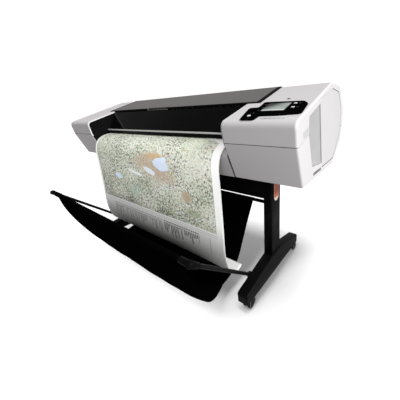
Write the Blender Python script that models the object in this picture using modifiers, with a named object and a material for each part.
"""Large format plotter on a rolling stand, modelled in metres with +Z up.

The front faces -Y and +X is the operator's right. The layout is measured from the
plane of the stand's posts, and one empty then carries every piece back along Y, so
that the origin lies on the floor under the middle of the whole machine.
"""

import math

import bmesh
import bpy
from mathutils import Matrix, Vector

# ---------------------------------------------------------------- driving dimensions
GAP = 0.0003            # clearance between pieces that touch
WALL = 0.003            # moulded cover thickness
PLAN_SHIFT = 0.14005    # from the post plane to the middle of the plan

BODY_HALF = 0.885       # half of the overall width
BAY_HALF = 0.5905       # inner edge of each end module
SPAN_HALF = 0.5860      # half width of the covers between the end modules
INNER_WALL = (0.5865, 0.5895)
SEAM_Z = 0.817          # joint between the lower and the upper end covers

OPENING_MARGIN = 0.0008  # groove around the pieces set into the right side

SLOPE_Y, SLOPE_Z = -0.296, 0.921   # a point on the sloping top
SLOPE_RISE = 0.368                 # rise of the sloping top for each metre back
SLOPE = math.atan(SLOPE_RISE)

FOOT_X = (0.600, 0.657)
FOOT_BOTTOM, FOOT_TOP = 0.060, 0.165
POST_X, POST_Y = (0.599, 0.651), (-0.067, 0.035)
POST_TOP = 0.6612

CASTER_X, CASTER_RADIUS, CASTER_TRAIL = 0.6285, 0.028, 0.018
CASTER_SWIVELS = {"front": -0.285, "rear": 0.255}

BASKET_PIVOT = (0.588, -0.200, 0.115)
BASKET_BAR = (-0.606, 0.470)
BASKET_REAR_BAR = (0.011, 0.435)
BAR_RADIUS = 0.010
KNUCKLE = (0.641, 0.016)           # distance from the middle, and radius
PIN_RADIUS = 0.005

COVER_HALF = 0.6503                # the lifting top cover
COVER_FRONT, COVER_HINGE_Y = -0.170, 0.043
COVER_PROUD, COVER_UNDER = 0.004, -0.006
NOTCH_X = (-0.180, 0.030)

SHEET_HALF = 0.559                 # 44 inch paper
FEED_AXIS, FEED_RADIUS = (0.048, 0.7917), 0.014
PINCH_AXIS, PINCH_RADIUS = (0.048, 0.8161), 0.008
ROLL_AXIS, ROLL_RADIUS, CORE_RADIUS = (0.225, 0.800), 0.070, 0.0255

CARRIAGE_X, CARRIAGE_HALF = 0.700, 0.080
SLIDE_ROD = (-0.020, 0.885)
BELT_Y, BELT_Z, PULLEY_X, PULLEY_RADIUS = 0.046, 0.891, 0.800, 0.010

DOOR_HINGE_Y = 0.2835
REAR_FACE_SLOPE = math.atan2(0.1033, 0.175)
INLET_CENTRE = (0.740, 0.2375, 0.7135)
ROCKER_TILT = math.radians(8)

# ---------------------------------------------------------------- empty the scene
for old in list(bpy.data.objects):
    bpy.data.objects.remove(old, do_unlink=True)

SCENE = bpy.context.scene
PARTS = bpy.data.collections.new("large_format_plotter")
CUTTERS = bpy.data.collections.new("cutters")
SCENE.collection.children.link(PARTS)
SCENE.collection.children.link(CUTTERS)

HOME = bpy.data.objects.new("plan_centre", None)
HOME.location = (0, PLAN_SHIFT, 0)
PARTS.objects.link(HOME)


# ---------------------------------------------------------------- finishes
def finish(name, colour, roughness, metallic=0.0):
    look = bpy.data.materials.new(name)
    look.use_nodes = True
    shader = look.node_tree.nodes["Principled BSDF"]
    shader.inputs["Base Color"].default_value = (*colour, 1)
    shader.inputs["Roughness"].default_value = roughness
    shader.inputs["Metallic"].default_value = metallic
    return look


WHITE = finish("white_housing", (0.80, 0.79, 0.80), 0.42)
GREY_COVER = finish("grey_cover", (0.13, 0.13, 0.13), 0.38)
GLOSS_BLACK = finish("gloss_black", (0.012, 0.012, 0.013), 0.12)
FRAME_BLACK = finish("frame_black", (0.030, 0.030, 0.032), 0.45)
INNER_BLACK = finish("inner_black", (0.020, 0.020, 0.021), 0.5)
STEEL = finish("steel", (0.55, 0.56, 0.58), 0.25, 1.0)
SILVER = finish("silver_trim", (0.62, 0.63, 0.66), 0.3, 0.9)
RUBBER = finish("rubber", (0.015, 0.015, 0.015), 0.7)
CLOTH = finish("basket_cloth", (0.010, 0.010, 0.011), 0.85)
PAPER = finish("paper", (0.80, 0.82, 0.76), 0.6)
SCREEN = finish("screen_glass", (0.05, 0.07, 0.07), 0.1)
KEY = finish("key_white", (0.75, 0.76, 0.76), 0.4)
RECESS_GREY = finish("recess_grey", (0.42, 0.42, 0.43), 0.5)
INK = [
    finish("ink_" + name, colour, 0.35)
    for name, colour in (
        ("black", (0.02, 0.02, 0.02)),
        ("cyan", (0.02, 0.30, 0.55)),
        ("magenta", (0.55, 0.03, 0.20)),
        ("yellow", (0.75, 0.60, 0.03)),
    )
]


# ---------------------------------------------------------------- modelling helpers
def slope_point(y, normal_offset):
    """Y and Z of a point over the sloping top, at a distance along its normal."""
    z = SLOPE_Z + SLOPE_RISE * (y - SLOPE_Y)
    return (y - normal_offset * math.sin(SLOPE), z + normal_offset * math.cos(SLOPE))


def rounded(corners, steps=5, closed=True):
    """An outline whose corners are (a, b) or, rounded by an arc, (a, b, radius)."""
    points = []
    count = len(corners)
    for i, corner in enumerate(corners):
        here = Vector(corner[:2])
        at_end = not closed and i in (0, count - 1)
        if len(corner) < 3 or at_end:
            points.append(here)
            continue
        back = (Vector(corners[i - 1][:2]) - here).normalized()
        ahead = (Vector(corners[(i + 1) % count][:2]) - here).normalized()
        half = back.angle(ahead) / 2
        centre = here + (back + ahead).normalized() * corner[2] / math.sin(half)
        first = here + back * corner[2] / math.tan(half) - centre
        last = here + ahead * corner[2] / math.tan(half) - centre
        turn = math.atan2(first.x * last.y - first.y * last.x, first.dot(last))
        for step in range(steps + 1):
            points.append(centre + Matrix.Rotation(turn * step / steps, 2) @ first)
    return points


def offset(path, distance, closed):
    """The path moved sideways, to the left of its direction for a positive distance."""
    moved = []
    count = len(path)
    for i, here in enumerate(path):
        before = path[i - 1] if closed or i > 0 else None
        after = path[(i + 1) % count] if closed or i < count - 1 else None
        sides = []
        for start, end in ((before, here), (here, after)):
            if start is not None and end is not None:
                run = (end - start).normalized()
                sides.append(Vector((-run.y, run.x)))
        total = sides[0] + sides[-1]
        moved.append(here + total * distance * 2 / total.length_squared)
    return moved


def ribbon(path, left, right=0.0):
    """The closed outline of a wall that lies between two offsets of an open path."""
    path = [Vector(point[:2]) for point in path]
    return offset(path, left, False) + offset(path, -right, False)[::-1]


TURN = {
    "X": Matrix(((0, 0, 1), (1, 0, 0), (0, 1, 0))).to_4x4(),
    "Z": Matrix.Identity(4),
}


def extruded(outlines, low, high, axis="X"):
    """A mesh of a flat outline, and any holes in it, carried along X or Z."""
    curve = bpy.data.curves.new("outline", "CURVE")
    curve.dimensions = "2D"
    curve.fill_mode = "BOTH"
    curve.extrude = (high - low) / 2
    for outline in outlines:
        spline = curve.splines.new("POLY")
        spline.points.add(len(outline) - 1)
        for point, place in zip(spline.points, outline):
            point.co = (place[0], place[1], 0, 1)
        spline.use_cyclic_u = True
    guide = bpy.data.objects.new("outline", curve)
    CUTTERS.objects.link(guide)
    graph = bpy.context.evaluated_depsgraph_get()
    graph.update()
    mesh = bpy.data.meshes.new_from_object(guide.evaluated_get(graph))
    bm = bmesh.new()
    bm.from_mesh(mesh)
    bpy.data.objects.remove(guide)
    bpy.data.meshes.remove(mesh)
    bmesh.ops.remove_doubles(bm, verts=bm.verts, dist=1e-5)
    bmesh.ops.dissolve_limit(bm, angle_limit=0.005, verts=bm.verts, edges=bm.edges)
    bmesh.ops.translate(bm, vec=(0, 0, (low + high) / 2), verts=bm.verts)
    bmesh.ops.transform(bm, matrix=TURN[axis], verts=bm.verts)
    bmesh.ops.recalc_face_normals(bm, faces=bm.faces)
    return bm


def block(low, high, bevel=0.0):
    bm = bmesh.new()
    bmesh.ops.create_cube(bm, size=1)
    low, high = Vector(low), Vector(high)
    bmesh.ops.scale(bm, vec=high - low, verts=bm.verts)
    bmesh.ops.translate(bm, vec=(low + high) / 2, verts=bm.verts)
    if bevel:
        bmesh.ops.bevel(bm, geom=bm.edges[:], offset=bevel, segments=1,
                        affect="EDGES", profile=0.5, material=-1)
    return bm


def rod(start, end, radius, sides=20):
    """A round bar between two points."""
    start, end = Vector(start), Vector(end)
    bm = bmesh.new()
    bmesh.ops.create_cone(bm, cap_ends=True, segments=sides, radius1=radius,
                          radius2=radius, depth=(end - start).length)
    aim = (end - start).to_track_quat("Z", "Y").to_matrix().to_4x4()
    bmesh.ops.transform(bm, matrix=Matrix.Translation((start + end) / 2) @ aim,
                        verts=bm.verts)
    return bm


def turned(profile, centre, axis="X", sides=28):
    """A turned solid: the profile's (distance along the axis, radius) points."""
    bm = bmesh.new()
    along = Vector((1, 0, 0)) if axis == "X" else Vector((0, 0, 1))
    out = Vector((0, 1, 0)) if axis == "X" else Vector((1, 0, 0))
    verts = [bm.verts.new(Vector(centre) + along * a + out * r) for a, r in profile]
    edges = [bm.edges.new(pair) for pair in zip(verts, verts[1:])]
    bmesh.ops.spin(bm, geom=verts + edges, cent=centre, axis=along,
                   angle=2 * math.pi, steps=sides, use_merge=True)
    bmesh.ops.remove_doubles(bm, verts=bm.verts, dist=1e-5)
    return bm


def part(name, bm, look, origin=(0, 0, 0), closed=True):
    """Names a finished mesh, gives it its material and puts its origin in place."""
    if closed:
        bmesh.ops.recalc_face_normals(bm, faces=bm.faces)
    bmesh.ops.translate(bm, vec=-Vector(origin), verts=bm.verts)
    mesh = bpy.data.meshes.new(name)
    bm.to_mesh(mesh)
    bm.free()
    mesh.materials.append(look)
    mesh.shade_smooth()
    mesh.set_sharp_from_angle(angle=math.radians(32))
    obj = bpy.data.objects.new(name, mesh)
    obj.location = origin
    obj.parent = HOME
    PARTS.objects.link(obj)
    return obj


def join_or_cut(obj, bm, operation):
    """Adds or removes a shape on a piece with a Boolean modifier."""
    bmesh.ops.recalc_face_normals(bm, faces=bm.faces)
    mesh = bpy.data.meshes.new(obj.name + "_tool")
    bm.to_mesh(mesh)
    bm.free()
    tool = bpy.data.objects.new(obj.name + "_tool", mesh)
    tool.parent = HOME
    tool.hide_render = True
    tool.display_type = "WIRE"
    CUTTERS.objects.link(tool)
    boolean = obj.modifiers.new("shape", "BOOLEAN")
    boolean.operation = operation
    boolean.solver = "EXACT"
    boolean.object = tool


def cut(obj, bm):
    join_or_cut(obj, bm, "DIFFERENCE")


def add(obj, bm):
    join_or_cut(obj, bm, "UNION")


def thicken(obj, thickness):
    wall = obj.modifiers.new("wall", "SOLIDIFY")
    wall.thickness = thickness
    wall.offset = -1
    wall.use_even_offset = True


def over_slope(bm):
    """Lays a mesh drawn as X, Y and height over a plane onto the sloping top."""
    for vert in bm.verts:
        y, z = slope_point(vert.co.y, vert.co.z)
        vert.co.y = y
        vert.co.z = z
    return bm


def mirrored(bm, side):
    """The same shape on the left when side is -1."""
    if side < 0:
        bmesh.ops.scale(bm, vec=(-1, 1, 1), verts=bm.verts)
        bmesh.ops.reverse_faces(bm, faces=bm.faces)
    return bm


def rim_edges(bm, x):
    """The edges that lie in the plane at one X."""
    return [e for e in bm.edges if all(abs(v.co.x - x) < 1e-5 for v in e.verts)]


SIDES = {"left": -1, "right": 1}


# ---------------------------------------------------------------- stand
def make_foot(label, side):
    """A folded steel foot, open underneath, with the basket's pivot pin on it."""
    middle = (POST_Y[0] + POST_Y[1]) / 2
    reach = 0.310
    outline = rounded([
        (middle - reach + 0.004, FOOT_BOTTOM),
        (middle - reach, 0.112, 0.014),
        (POST_Y[0] - 0.004, FOOT_TOP),
        (POST_Y[1] + 0.004, FOOT_TOP),
        (middle + reach, 0.112, 0.014),
        (middle + reach - 0.004, FOOT_BOTTOM),
    ], 3)
    bm = extruded([outline], *FOOT_X)
    edges = rim_edges(bm, FOOT_X[0]) + rim_edges(bm, FOOT_X[1])
    edges = [e for e in edges if max(v.co.z for v in e.verts) > FOOT_BOTTOM + 0.001]
    bmesh.ops.bevel(bm, geom=edges, offset=0.005, segments=2, affect="EDGES",
                    profile=0.5, material=-1)
    foot = part(label + "_foot", mirrored(bm, side), FRAME_BLACK)
    inner = [Vector((p.x, p.y if p.y > FOOT_BOTTOM + 0.01 else FOOT_BOTTOM - 0.01))
             for p in offset(outline, -WALL, True)]
    hollow = extruded([inner], FOOT_X[0] + WALL, FOOT_X[1] - WALL)
    cut(foot, mirrored(hollow, side))
    y, z = BASKET_PIVOT[1:]
    add(foot, rod((side * 0.577, y, z), (side * (FOOT_X[0] + 0.002), y, z), PIN_RADIUS))


def make_post(label, side):
    """A rectangular tube between the foot and the body."""
    outline = rounded([
        (POST_X[0], POST_Y[0], 0.010),
        (POST_X[1], POST_Y[0], 0.010),
        (POST_X[1], POST_Y[1], 0.010),
        (POST_X[0], POST_Y[1], 0.010),
    ], 3)
    bm = extruded([outline], FOOT_TOP + 2 * GAP, POST_TOP, "Z")
    ends = [f for f in bm.faces if abs(f.normal.z) > 0.99]
    bmesh.ops.delete(bm, geom=ends, context="FACES")
    post = part(label + "_post", mirrored(bm, side), FRAME_BLACK, closed=False)
    thicken(post, 0.0025)


def make_cross_brace():
    """A folded channel between the posts, open at the back."""
    back, front, sheet = 0.012, -0.020, 0.003
    low, high = 0.467, 0.600
    outline = [
        (front, low), (back, low), (back, low + sheet), (front + sheet, low + sheet),
        (front + sheet, high - sheet), (back, high - sheet), (back, high), (front, high),
    ]
    half = POST_X[0] - GAP
    part("cross_brace", extruded([outline], -half, half), FRAME_BLACK)


def make_caster(label, side, end, swivel_y):
    """A twin-wheel caster: a swivelling fork, and a wheel pair on one axle."""
    name = "caster_{}_" + end + "_" + label
    x = side * CASTER_X
    axle_y = swivel_y + CASTER_TRAIL
    axle_z = CASTER_RADIUS
    top = FOOT_BOTTOM - GAP
    fin = rounded([
        (swivel_y - 0.016, top - 0.002),
        (axle_y + 0.013, top - 0.002),
        (axle_y + 0.012, axle_z, 0.006),
        (axle_y, axle_z - 0.014, 0.008),
        (axle_y - 0.012, axle_z, 0.006),
    ], 3)
    bm = extruded([fin], x - 0.0042, x + 0.0042)
    fork = part(name.format("fork"), bm, INNER_BLACK, (x, swivel_y, top))
    add(fork, rod((x, swivel_y, top - 0.003), (x, swivel_y, top), 0.021, 28))
    cut(fork, rod((x - 0.01, axle_y, axle_z), (x + 0.01, axle_y, axle_z), 0.0045))
    half = [(0.0062, 0.004), (0.0062, 0.024), (0.009, CASTER_RADIUS),
            (0.018, CASTER_RADIUS), (0.021, 0.025), (0.021, 0.0)]
    profile = [(-a, r) for a, r in half[::-1]] + half
    wheels = turned(profile, (x, axle_y, axle_z))
    part(name.format("wheels"), wheels, RUBBER, (x, axle_y, axle_z))


for label, side in SIDES.items():
    make_foot(label, side)
    make_post(label, side)
    for end, swivel_y in CASTER_SWIVELS.items():
        make_caster(label, side, end, swivel_y)
make_cross_brace()


# ---------------------------------------------------------------- basket
def make_basket_arm(label, side):
    """A round arm with a flat eye on the foot's pin and a knuckle at the front bar."""
    x, y, z = BASKET_PIVOT
    knuckle_x, knuckle_radius = KNUCKLE
    tip = Vector((side * knuckle_x, *BASKET_BAR))
    root = Vector((side * x, y, z))
    aim = (tip - root).normalized()
    arm = part("basket_arm_" + label, rod(root + aim * 0.010, tip, 0.0085, 16),
               FRAME_BLACK, (side * x, y, z))
    knuckle = bmesh.new()
    bmesh.ops.create_uvsphere(knuckle, u_segments=16, v_segments=10,
                              radius=knuckle_radius)
    bmesh.ops.translate(knuckle, vec=tip, verts=knuckle.verts)
    add(arm, knuckle)
    inner, outer = side * (x - 0.005), side * (x + 0.005)
    add(arm, rod((inner, y, z), (outer, y, z), 0.016, 24))
    cut(arm, rod((side * (x - 0.02), y, z), (side * (x + 0.02), y, z),
                 PIN_RADIUS + 0.0003, 20))


def make_basket_bars():
    front_half = KNUCKLE[0] - KNUCKLE[1] - GAP
    rear_half = POST_X[0] - GAP
    part("basket_front_bar",
         rod((-front_half, *BASKET_BAR), (front_half, *BASKET_BAR), BAR_RADIUS),
         FRAME_BLACK, (0, *BASKET_PIVOT[1:]))
    part("basket_rear_bar",
         rod((-rear_half, *BASKET_REAR_BAR), (rear_half, *BASKET_REAR_BAR), BAR_RADIUS),
         FRAME_BLACK)


def make_basket_cloth():
    """The sling, as one sagging wall that narrows from the front bar to the back."""
    side_path = rounded([
        (-0.004, 0.419), (-0.135, 0.185, 0.15), (-0.205, 0.058, 0.10),
        (-0.385, 0.058, 0.14), (-0.545, 0.235, 0.16), (-0.600, 0.452),
    ], 4, closed=False)
    bm = bmesh.new()
    bmesh.ops.create_grid(bm, x_segments=4, y_segments=len(side_path) - 1, size=1)
    rows = sorted({round(v.co.y, 5) for v in bm.verts})
    for vert in bm.verts:
        row = min(range(len(rows)), key=lambda i: abs(rows[i] - vert.co.y))
        y, z = side_path[row]
        lift = max(0.0, (-0.30 - y) / 0.30)
        vert.co = (vert.co.x * (0.490 + 0.108 * lift), y, z)
    for face in bm.faces:
        face.normal_update()
    cloth = part("basket_cloth", bm, CLOTH, closed=False)
    thicken(cloth, 0.004)


for label, side in SIDES.items():
    make_basket_arm(label, side)
make_basket_bars()
make_basket_cloth()


# ---------------------------------------------------------------- body outline
BODY_CORNERS = {
    "front_foot": (-0.281, 0.6617, 0.010),
    "front_break": (-0.348, 0.817, 0.060),
    "front_top": (-0.3625, 0.8966, 0.032),
    "top_break": (0.045, 1.0465, 0.060),
    "rear_top": (0.212, 1.049, 0.050),
    "rear_bulge": (0.345, 0.925, 0.050),
    "rear_waist": (0.325, 0.765, 0.050),
    "rear_foot": (0.150, 0.6617, 0.015),
}
BODY_OUTLINE = rounded(list(BODY_CORNERS.values()), 4)

DOOR_EDGE = (Vector((-0.120, 0.968)), Vector((-0.047, 0.690)))
DOOR_OUTLINE = rounded([
    (*DOOR_EDGE[0], 0.010), (0.070, 1.022, 0.060), (0.200, 1.014, 0.060),
    (0.282, 0.920, 0.070), (0.276, 0.810, 0.060), (0.150, 0.692, 0.040),
    (*DOOR_EDGE[1], 0.010),
], 4)


def beside_door(z):
    """A point just in front of the ink door's front edge."""
    top, bottom = DOOR_EDGE
    spot = top.lerp(bottom, (top.y - z) / (top.y - bottom.y))
    return (spot.x - 0.0015, spot.y)


RECESS_OUTLINE = rounded([
    (-0.243, 0.909, 0.012), (*beside_door(0.954), 0.004), (*beside_door(0.710), 0.004),
    (-0.186, 0.722, 0.015), (-0.238, 0.850, 0.060),
], 3)


def cover_opening():
    """The space that the lifting cover needs in the top of the end modules."""
    half = COVER_HALF + 0.0007
    return over_slope(block((-half, COVER_FRONT - 0.001, -0.0076),
                            (half, COVER_HINGE_Y + 0.0075, 0.03)))


def make_end_cover(label, side, upper):
    """Half of a moulded end module: a thin shell, open towards the middle."""
    bm = extruded([BODY_OUTLINE], BAY_HALF, BODY_HALF)
    bmesh.ops.bevel(bm, geom=rim_edges(bm, BODY_HALF), offset=0.009, segments=2,
                    affect="EDGES", profile=0.5, material=-1)
    inner = [f for f in bm.faces if f.normal.x < -0.99]
    bmesh.ops.delete(bm, geom=inner, context="FACES")
    name = label + ("_upper_cover" if upper else "_lower_cover")
    cover = part(name, mirrored(bm, side), WHITE, closed=False)
    thicken(cover, WALL)
    if upper:
        cut(cover, block((-1, -1, 0), (1, 1, SEAM_Z + GAP)))
        cut(cover, cover_opening())
    else:
        cut(cover, block((-1, -1, SEAM_Z - GAP), (1, 1, 2)))
    if side > 0:
        for outline in (DOOR_OUTLINE, RECESS_OUTLINE):
            cut(cover, extruded([offset(outline, OPENING_MARGIN, True)], 0.86, 0.90))
    if side > 0 and not upper:
        cut(cover, inlet_block(0.0003, 0.010, 0.010))


def inlet_frame():
    """Turns a shape from flat, facing -Z, onto the machine's sloping rear face."""
    return Matrix.Translation(INLET_CENTRE) @ Matrix.Rotation(REAR_FACE_SLOPE, 4, "X")


def inlet_block(margin, inside, outside):
    half = Vector((0.036, 0.014, 0)) + Vector((margin, margin, 0))
    bm = block((-half.x, -half.y, -outside), (half.x, half.y, inside))
    bmesh.ops.transform(bm, matrix=inlet_frame(), verts=bm.verts)
    return bm


def make_inner_wall(label, side):
    """The black side plate that closes each end module towards the print bay."""
    outline = offset(BODY_OUTLINE, -(WALL + 0.0005), True)
    bm = extruded([outline], *INNER_WALL)
    wall = part(label + "_inner_wall", mirrored(bm, side), INNER_BLACK)
    cut(wall, cover_opening())
    cut(wall, block((-1, -0.5, 0.60), (1, 0.5, 0.7008)))
    cut(wall, block((-1, -0.130, 0.800), (1, 0.085, 0.955)))


for label, side in SIDES.items():
    make_end_cover(label, side, upper=False)
    make_end_cover(label, side, upper=True)
    make_inner_wall(label, side)


# ---------------------------------------------------------------- covers of the span
def make_span(name, outline, look, origin=(0, 0, 0)):
    return part(name, extruded([outline], -SPAN_HALF, SPAN_HALF), look, origin)


def make_chassis_pan():
    """The folded steel pan that the end modules and the span stand on."""
    front, back, low, high, sheet = -0.262, 0.130, 0.6655, 0.7005, 0.004
    outline = [
        (front, low), (back, low), (back, high), (back - sheet, high),
        (back - sheet, low + sheet), (front + sheet, low + sheet),
        (front + sheet, high), (front, high),
    ]
    part("chassis_pan", extruded([outline], -0.80, 0.80), INNER_BLACK)


def make_rear_covers():
    """The fixed rear cover, the hinge rail on top and the lifting roll cover."""
    seam = Vector((0.2945, 0.972))
    step = Vector((0.0007, -0.0007))
    corners = BODY_CORNERS
    rear = rounded([
        seam + step, corners["rear_bulge"], corners["rear_waist"],
        corners["rear_foot"], (0.136, corners["rear_foot"][1]),
    ], 4, closed=False)
    make_span("rear_cover", ribbon(rear, 0.0, WALL), WHITE)
    top = corners["rear_top"][1]
    hinge = (0.1085, top - 0.005)
    lid = rounded([(hinge[0], top), corners["rear_top"], seam - step], 4, closed=False)
    lid = offset([Vector(p) for p in lid], -WALL, False)[::-1] + [Vector(p) for p in lid]
    barrel = rod((-SPAN_HALF, *hinge), (SPAN_HALF, *hinge), 0.005, 16)
    cover = make_span("roll_cover", lid, WHITE, (0, *hinge))
    add(cover, barrel)
    rail_low = 1.020
    rail = [
        (0.0525, rail_low), (0.0555, rail_low), (0.0555, top - WALL),
        (0.0995, top - WALL), (0.0995, rail_low), (0.1025, rail_low),
        (0.1025, top), (0.0525, top - 0.0005),
    ]
    make_span("hinge_rail", [Vector(p) for p in rail], WHITE)


def make_top_cover():
    """The lifting cover, a long plate with a round hinge edge and a hand notch."""
    axis = Vector(slope_point(COVER_HINGE_Y, (COVER_PROUD + COVER_UNDER) / 2))
    radius = (COVER_PROUD - COVER_UNDER) / 2
    outline = [Vector(slope_point(COVER_FRONT, COVER_UNDER)),
               Vector(slope_point(COVER_FRONT, COVER_PROUD - 0.002)),
               Vector(slope_point(COVER_FRONT + 0.002, COVER_PROUD))]
    first = math.pi / 2 + SLOPE
    for step in range(9):
        angle = first - math.pi * step / 8
        outline.append(axis + radius * Vector((math.cos(angle), math.sin(angle))))
    bm = extruded([outline], -COVER_HALF, COVER_HALF)
    cover = part("top_cover", bm, GREY_COVER, (0, *axis))
    notch = over_slope(block((NOTCH_X[0], COVER_FRONT - 0.02, -0.02),
                             (NOTCH_X[1], COVER_FRONT + 0.016, 0.02)))
    cut(cover, notch)


def make_front_covers():
    """The recessed gloss panel, the silver strip below it and the paper guide."""
    panel = [(-0.176, 0.9570), (-0.2255, 0.8465)]
    make_span("front_panel", ribbon(panel, WALL), GLOSS_BLACK)
    strip = block((-SPAN_HALF, -0.2395, 0.8370), (SPAN_HALF, -0.2235, 0.8450), 0.0015)
    part("silver_trim", strip, SILVER)
    guide = [
        (-0.1195, 0.8035), (-0.160, 0.8075), (-0.210, 0.8120), (-0.250, 0.8110),
        (-0.2835, 0.8028), (-0.3155, 0.7825), (-0.3265, 0.7640), (-0.3220, 0.7480),
        (-0.2845, 0.6640),
    ]
    make_span("output_guide", ribbon(guide, WALL), WHITE)


def make_ink_door():
    """The side door over the ink supplies, hinged at its rear edge."""
    bm = extruded([DOOR_OUTLINE], BODY_HALF - WALL, BODY_HALF)
    part("ink_door", bm, WHITE, (BODY_HALF, DOOR_HINGE_Y, 0.860))


def make_grip_recess():
    """The sunk finger tray in front of the ink door."""
    bm = extruded([RECESS_OUTLINE], BODY_HALF - 0.023, BODY_HALF - 0.0005)
    tray = part("grip_recess", bm, RECESS_GREY)
    cut(tray, extruded([offset(RECESS_OUTLINE, -WALL, True)],
                       BODY_HALF - 0.020, BODY_HALF + 0.01))


make_chassis_pan()
make_rear_covers()
make_top_cover()
make_front_covers()
make_ink_door()
make_grip_recess()


# ---------------------------------------------------------------- control panel
PANEL_HEIGHT = 0.0040
KEYS = {"key_up": (0.8200, -0.205), "key_down": (0.8250, -0.243)}
POWER_KEY = (0.685, -0.312)
SCREEN_BOX = ((0.710, -0.275), (0.805, -0.198))


def slope_piece(name, outline, low, high, look, origin=(0, 0, 0)):
    bm = over_slope(extruded([outline], low, high, "Z"))
    return part(name, bm, look, origin)


def make_control_panel():
    """A stepped bezel on the sloping top, with a screen, two keys and a round button."""
    outline = rounded([
        (0.636, -0.231, 0.012), (0.680, -0.231, 0.010), (0.674, -0.172, 0.010),
        (0.846, -0.180, 0.022), (0.868, -0.208, 0.020), (0.877, -0.298, 0.012),
        (0.800, -0.309, 0.010), (0.728, -0.311, 0.008), (0.724, -0.344, 0.008),
        (0.664, -0.344, 0.016),
    ], 3)
    panel = slope_piece("control_panel", outline, GAP, PANEL_HEIGHT, GLOSS_BLACK)
    (x0, y0), (x1, y1) = SCREEN_BOX
    screen = rounded([(x0, y0, 0.004), (x1, y0, 0.004), (x1, y1, 0.004),
                      (x0, y1, 0.004)], 2)
    slope_piece("display_screen", screen, PANEL_HEIGHT + GAP, PANEL_HEIGHT + 0.0012, SCREEN)
    low, high = 0.0018, 0.0054
    for name, (x, y) in KEYS.items():
        key = block((x - 0.0060, y - 0.0045, low), (x + 0.0060, y + 0.0045, high), 0.0008)
        part(name, over_slope(key), KEY, (x, *slope_point(y, low)))
        cut(panel, over_slope(block((x - 0.0064, y - 0.0049, -0.01),
                                    (x + 0.0064, y + 0.0049, 0.01))))
    x, y = POWER_KEY
    button = rod((x, y, low), (x, y, high), 0.0070)
    part("power_button", over_slope(button), KEY, (x, *slope_point(y, low)))
    cut(panel, over_slope(rod((x, y, -0.01), (x, y, 0.01), 0.0075)))


make_control_panel()


# ---------------------------------------------------------------- print mechanism
def make_rail():
    """The channel behind the carriage, whose end plates hold the slide rod."""
    front, back, low, high, sheet = 0.0345, 0.066, 0.860, 0.940, 0.003
    outline = [
        (front, low), (back, low), (back, high), (front, high), (front, high - sheet),
        (back - sheet, high - sheet), (back - sheet, low + sheet), (front, low + sheet),
    ]
    rail = part("carriage_rail", extruded([outline], -0.855, 0.855), STEEL)
    for side in SIDES.values():
        low_x, high_x = sorted((side * 0.852, side * 0.8555))
        add(rail, block((low_x, SLIDE_ROD[0] - 0.012, low - 0.002),
                        (high_x, back + 0.001, high + 0.001)))
    part("slide_rod", rod((-0.8515, *SLIDE_ROD), (0.8515, *SLIDE_ROD), 0.006), STEEL)


def make_carriage():
    """The carriage on its rod, with two print heads in its pockets."""
    low, high = 0.8205, 0.915
    front, back = -0.100, 0.0338
    x = CARRIAGE_X
    body = block((x - CARRIAGE_HALF, front, low), (x + CARRIAGE_HALF, back, high), 0.003)
    carriage = part("carriage", body, INNER_BLACK, (x, *SLIDE_ROD))
    cut(carriage, rod((x - 0.1, *SLIDE_ROD), (x + 0.1, *SLIDE_ROD), 0.0063))
    for name, shift, ink in (("black", -0.036, INK[0]), ("colour", 0.036, INK[1])):
        centre = x + shift
        cut(carriage, block((centre - 0.030, -0.094, low + 0.006),
                            (centre + 0.030, -0.034, 0.95)))
        head = block((centre - 0.0295, -0.0935, low + 0.0065),
                     (centre + 0.0295, -0.0345, high + 0.012), 0.002)
        part("printhead_" + name, head, ink, (x, *SLIDE_ROD))


def make_belt_drive():
    """The toothed belt's loop, its two pulleys and the motor."""
    def loop(radius):
        half_turn = [math.pi * step / 8 - math.pi / 2 for step in range(9)]
        right = [(PULLEY_X + radius * math.cos(a), BELT_Y + radius * math.sin(a))
                 for a in half_turn]
        left = [(-x, 2 * BELT_Y - y) for x, y in right]
        return right + left
    bm = extruded([loop(PULLEY_RADIUS + 0.0018), loop(PULLEY_RADIUS + 0.0005)],
                  BELT_Z - 0.003, BELT_Z + 0.003, "Z")
    part("drive_belt", bm, RUBBER)
    shaft, flange = 0.003, 0.0365
    half = [(0.0032, PULLEY_RADIUS), (0.0050, PULLEY_RADIUS), (0.0050, shaft)]
    top = half + [(0.937 - GAP - BELT_Z, shaft), (0.937 - GAP - BELT_Z, 0)]
    base = 0.863 + GAP - BELT_Z
    profile = [(base, 0), (base, shaft), (-0.0050, shaft), (-0.0050, PULLEY_RADIUS)]
    for name, x in (("drive_pulley", -PULLEY_X), ("idler_pulley", PULLEY_X)):
        centre = (x, BELT_Y, BELT_Z)
        part(name, turned(profile + top, centre, "Z", 24), STEEL, centre)
    motor = turned([(0, 0), (0, 0.020), (0.002, 0.022), (0.055, 0.022), (0.055, 0)],
                   (-PULLEY_X, BELT_Y, 0.8595 - 0.055), "Z")
    part("carriage_motor", motor, INNER_BLACK)


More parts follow.
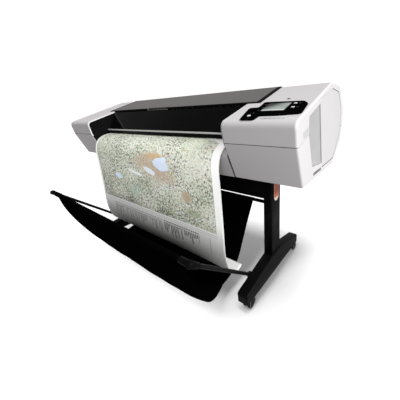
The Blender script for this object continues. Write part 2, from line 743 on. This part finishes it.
def make_paper_path():
    """The platen, the feed and pinch rollers, the roll on its spindle and the sheet."""
    half = SPAN_HALF - 0.0005
    part("platen", block((-SPAN_HALF, -0.1185, 0.795), (SPAN_HALF, 0.030, 0.8056)),
         INNER_BLACK)
    part("feed_roller", rod((-half, *FEED_AXIS), (half, *FEED_AXIS), FEED_RADIUS, 28),
         RUBBER, (0, *FEED_AXIS))
    part("pinch_roller", rod((-half, *PINCH_AXIS), (half, *PINCH_AXIS), PINCH_RADIUS),
         RUBBER, (0, *PINCH_AXIS))
    centre = (0, *ROLL_AXIS)
    end = [(SHEET_HALF + GAP, CORE_RADIUS), (SHEET_HALF + GAP, 0.045),
           (SHEET_HALF + 0.012, 0.045), (SHEET_HALF + 0.012, 0.010), (half, 0.010),
           (half, 0)]
    spindle = turned([(-a, r) for a, r in end[::-1]] + end, centre)
    part("roll_spindle", spindle, INNER_BLACK, centre)
    ring = [(-SHEET_HALF, CORE_RADIUS + GAP), (SHEET_HALF, CORE_RADIUS + GAP),
            (SHEET_HALF, ROLL_RADIUS), (-SHEET_HALF, ROLL_RADIUS),
            (-SHEET_HALF, CORE_RADIUS + GAP)]
    part("paper_roll", turned(ring, centre, sides=36), PAPER, centre)
    path = [
        (0.198, 0.8663), (0.056, 0.8077), (0.046, 0.8069), (-0.118, 0.8069),
        (-0.160, 0.8110), (-0.210, 0.8155), (-0.250, 0.8145), (-0.285, 0.8060),
        (-0.318, 0.7850), (-0.340, 0.7570), (-0.350, 0.7200), (-0.352, 0.6900),
        (-0.348, 0.6000), (-0.345, 0.4500), (-0.343, 0.3300), (-0.335, 0.2600),
        (-0.316, 0.2050), (-0.283, 0.1710), (-0.250, 0.1660), (-0.221, 0.1770),
    ]
    sheet = extruded([ribbon(path, 0.0004, 0.0004)], -SHEET_HALF, SHEET_HALF)
    part("printed_sheet", sheet, PAPER)


def make_ink_supplies():
    for i, look in enumerate(INK):
        low_y = -0.030 + 0.054 * i
        bm = block((0.735, low_y, 0.702), (0.862, low_y + 0.050, 0.790), 0.003)
        part("ink_cartridge_" + look.name[4:], bm, look)


def make_power_entry():
    """The mains inlet block in the rear face, and the rocker switch in it."""
    inlet = part("power_inlet", inlet_block(0, 0.022, 0.0015), INNER_BLACK)
    to_place = inlet_frame()
    socket = block((-0.028, -0.009, -0.01), (-0.002, 0.009, 0.014))
    bmesh.ops.transform(socket, matrix=to_place, verts=socket.verts)
    cut(inlet, socket)
    well = block((0.010, -0.0105, -0.01), (0.028, 0.0105, 0.012))
    bmesh.ops.transform(well, matrix=to_place, verts=well.verts)
    cut(inlet, well)
    outline = [(-0.0092, -0.0030), (0.0, -0.0008), (0.0092, -0.0030), (0.0092, 0.002),
               (0.0, 0.006), (-0.0092, 0.002)]
    rocker = extruded([outline], 0.0105, 0.0275)
    axle = Vector((0.019, 0, 0.001))
    bmesh.ops.rotate(rocker, cent=axle, verts=rocker.verts,
                     matrix=Matrix.Rotation(-ROCKER_TILT, 3, "X"))
    bmesh.ops.transform(rocker, matrix=to_place, verts=rocker.verts)
    axle = to_place @ axle
    part("power_switch", rocker, INNER_BLACK, axle)


make_rail()
make_carriage()
make_belt_drive()
make_paper_path()
make_ink_supplies()
make_power_entry()
